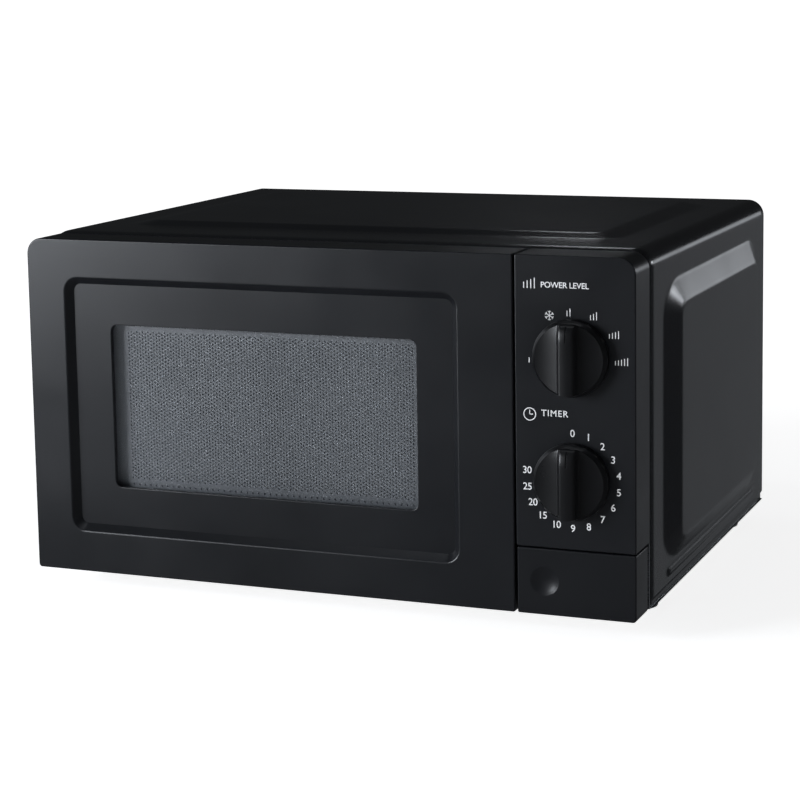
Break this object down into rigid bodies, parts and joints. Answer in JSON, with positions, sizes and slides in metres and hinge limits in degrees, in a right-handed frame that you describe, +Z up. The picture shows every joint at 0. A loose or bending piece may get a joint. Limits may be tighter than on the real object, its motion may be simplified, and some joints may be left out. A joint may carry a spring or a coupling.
{
  "type": "microwave oven",
  "caption": "Countertop microwave oven with side-hinged door, two turning dials, press-to-open key and rotating glass plate inside a pressed sheet cabinet.",
  "frame": {"origin": "centre of the bounding box in plan, at the underside of the feet", "axes": "+X to the right of a person facing the door, -Y towards that person, +Z up"},
  "size_m": [0.4528, 0.376, 0.2538],
  "materials": {
    "outer_case": "semi-gloss black powder coat",
    "rear_panel": "galvanised sheet",
    "base_plate": "galvanised sheet",
    "front_plate": "pale grey enamel",
    "cavity": "pale grey enamel",
    "mica_cover": "pressed mica",
    "waveguide": "galvanised sheet",
    "magnetron_yoke": "galvanised yoke",
    "magnetron_core": "copper and aluminium",
    "transformer_core": "varnished laminations",
    "transformer_windings": "enamelled copper wire",
    "capacitor": "drawn can",
    "capacitor_strap": "galvanised",
    "hv_diode": "black epoxy",
    "fan_duct": "galvanised",
    "fan_motor": "laminations and coil",
    "fan_blade": "moulded polypropylene",
    "timer_body": "moulded",
    "timer_bell": "nickel plated",
    "timer_shaft": "moulded",
    "timer_knob": "black",
    "power_switch": "moulded",
    "power_shaft": "moulded",
    "power_knob": "black",
    "control_panel": "black, semi-gloss",
    "release_key": "black, semi-gloss",
    "key_pin": "steel",
    "key_spring": "spring steel",
    "release_lever": "acetal",
    "latch_board": "moulded",
    "microswitches": "moulded",
    "switch_plungers": "moulded",
    "door_frame": "black, semi-gloss",
    "door_window": "smoked clear acrylic",
    "door_plate": "blue-grey enamel, perforated behind the window",
    "inner_film": "clear film",
    "choke_cover": "moulded",
    "door_latch": "acetal",
    "latch_spring": "spring steel",
    "upper_hinge": "zinc plated",
    "lower_hinge": "zinc plated",
    "turntable_plate": "toughened glass",
    "turntable_coupler": "moulded",
    "roller_ring": "moulded",
    "roller_a": "moulded",
    "roller_b": "moulded",
    "roller_c": "moulded",
    "turntable_motor": "drawn can",
    "lamp_holder": "moulded",
    "lamp_bulb": "clear glass",
    "thermal_cutout": "phenolic",
    "filter_board": "circuit board with components",
    "cord_gland": "black",
    "feet": "black",
    "case_screws": "zinc plated"
  },
  "bodies": {
    "chassis": {"outer_case": "outer_case", "rear_panel": "rear_panel", "base_plate": "base_plate", "front_plate": "front_plate", "cavity": "cavity", "mica_cover": "mica_cover", "waveguide": "waveguide", "magnetron_yoke": "magnetron_yoke", "magnetron_core": "magnetron_core", "transformer_core": "transformer_core", "transformer_windings": "transformer_windings", "capacitor": "capacitor", "capacitor_strap": "capacitor_strap", "hv_diode": "hv_diode", "fan_duct": "fan_duct", "fan_motor": "fan_motor", "timer_body": "timer_body", "timer_bell": "timer_bell", "power_switch": "power_switch", "control_panel": "control_panel", "key_pin": "key_pin", "key_spring": "key_spring", "latch_board": "latch_board", "microswitches": "microswitches", "upper_hinge": "upper_hinge", "lower_hinge": "lower_hinge", "turntable_motor": "turntable_motor", "lamp_holder": "lamp_holder", "lamp_bulb": "lamp_bulb", "thermal_cutout": "thermal_cutout", "filter_board": "filter_board", "cord_gland": "cord_gland", "feet": "feet", "case_screws": "case_screws"},
    "door": {"door_frame": "door_frame", "door_window": "door_window", "door_plate": "door_plate", "inner_film": "inner_film", "choke_cover": "choke_cover", "latch_spring": "latch_spring"},
    "latch": {"door_latch": "door_latch"},
    "key": {"release_key": "release_key"},
    "lever": {"release_lever": "release_lever"},
    "timer_dial": {"timer_knob": "timer_knob", "timer_shaft": "timer_shaft"},
    "power_dial": {"power_knob": "power_knob", "power_shaft": "power_shaft"},
    "turntable": {"turntable_plate": "turntable_plate", "turntable_coupler": "turntable_coupler"},
    "ring": {"roller_ring": "roller_ring"},
    "wheel_a": {"roller_a": "roller_a"},
    "wheel_b": {"roller_b": "roller_b"},
    "wheel_c": {"roller_c": "roller_c"},
    "fan": {"fan_blade": "fan_blade"},
    "plungers": {"switch_plungers": "switch_plungers"}
  },
  "joints": [
    {"name": "door_hinge", "type": "hinge", "parent": "chassis", "child": "door", "pos_m": [-0.215, -0.157, 0.134], "axis": [0, 0, -1], "range_deg": [0, 100]},
    {"name": "key_press", "type": "hinge", "parent": "chassis", "child": "key", "pos_m": [0.216, -0.147, 0.036], "axis": [0, 0, -1], "range_deg": [0, 2], "stiffness_Nm_per_rad": 1.5, "springref_deg": -1.15},
    {"name": "lever_turn", "type": "hinge", "parent": "chassis", "child": "lever", "pos_m": [0.138, -0.133, 0.046], "axis": [1, 0, 0], "range_deg": [0, 12.5]},
    {"name": "latch_lift", "type": "slide", "parent": "door", "child": "latch", "axis": [0, 0, 1], "range_m": [0, 0.004], "deforming": ["latch_spring"]},
    {"name": "timer_turn", "type": "hinge", "parent": "chassis", "child": "timer_dial", "pos_m": [0.178, -0.173, 0.1042], "axis": [0, 1, 0], "range_deg": [0, 280]},
    {"name": "power_turn", "type": "hinge", "parent": "chassis", "child": "power_dial", "pos_m": [0.178, -0.173, 0.1844], "axis": [0, 1, 0], "range_deg": [-90, 90]},
    {"name": "plate_turn", "type": "hinge", "parent": "chassis", "child": "turntable", "pos_m": [-0.0425, 0.011, 0.052], "axis": [0, 0, 1], "continuous": true},
    {"name": "ring_turn", "type": "hinge", "parent": "chassis", "child": "ring", "pos_m": [-0.0425, 0.011, 0.044], "axis": [0, 0, 1], "continuous": true},
    {"name": "roller_a_turn", "type": "hinge", "parent": "ring", "child": "wheel_a", "pos_m": [-0.0425, 0.111, 0.044], "axis": [0, 1, 0], "continuous": true},
    {"name": "roller_b_turn", "type": "hinge", "parent": "ring", "child": "wheel_b", "pos_m": [-0.1291, -0.039, 0.044], "axis": [-0.866, -0.5, 0], "continuous": true},
    {"name": "roller_c_turn", "type": "hinge", "parent": "ring", "child": "wheel_c", "pos_m": [0.0441, -0.039, 0.044], "axis": [0.866, -0.5, 0], "continuous": true},
    {"name": "fan_turn", "type": "hinge", "parent": "chassis", "child": "fan", "pos_m": [0.166, 0.157, 0.164], "axis": [0, 1, 0], "continuous": true},
    {"name": "switch_press", "type": "slide", "parent": "chassis", "child": "plungers", "axis": [0, 1, 0], "range_m": [0, 0.0012], "stiffness_N_per_m": 800, "springref_m": -0.001}
  ],
  "couplings": [
    {"joint": "lever_turn", "follows": "key_press", "ratio": 6.25},
    {"joint": "latch_lift", "follows": "key_press", "m_per_rad": 0.11448},
    {"joint": "ring_turn", "follows": "plate_turn", "ratio": 0.5},
    {"joint": "roller_a_turn", "follows": "plate_turn", "ratio": -6.4935},
    {"joint": "roller_b_turn", "follows": "plate_turn", "ratio": -6.4935},
    {"joint": "roller_c_turn", "follows": "plate_turn", "ratio": -6.4935}
  ]
}
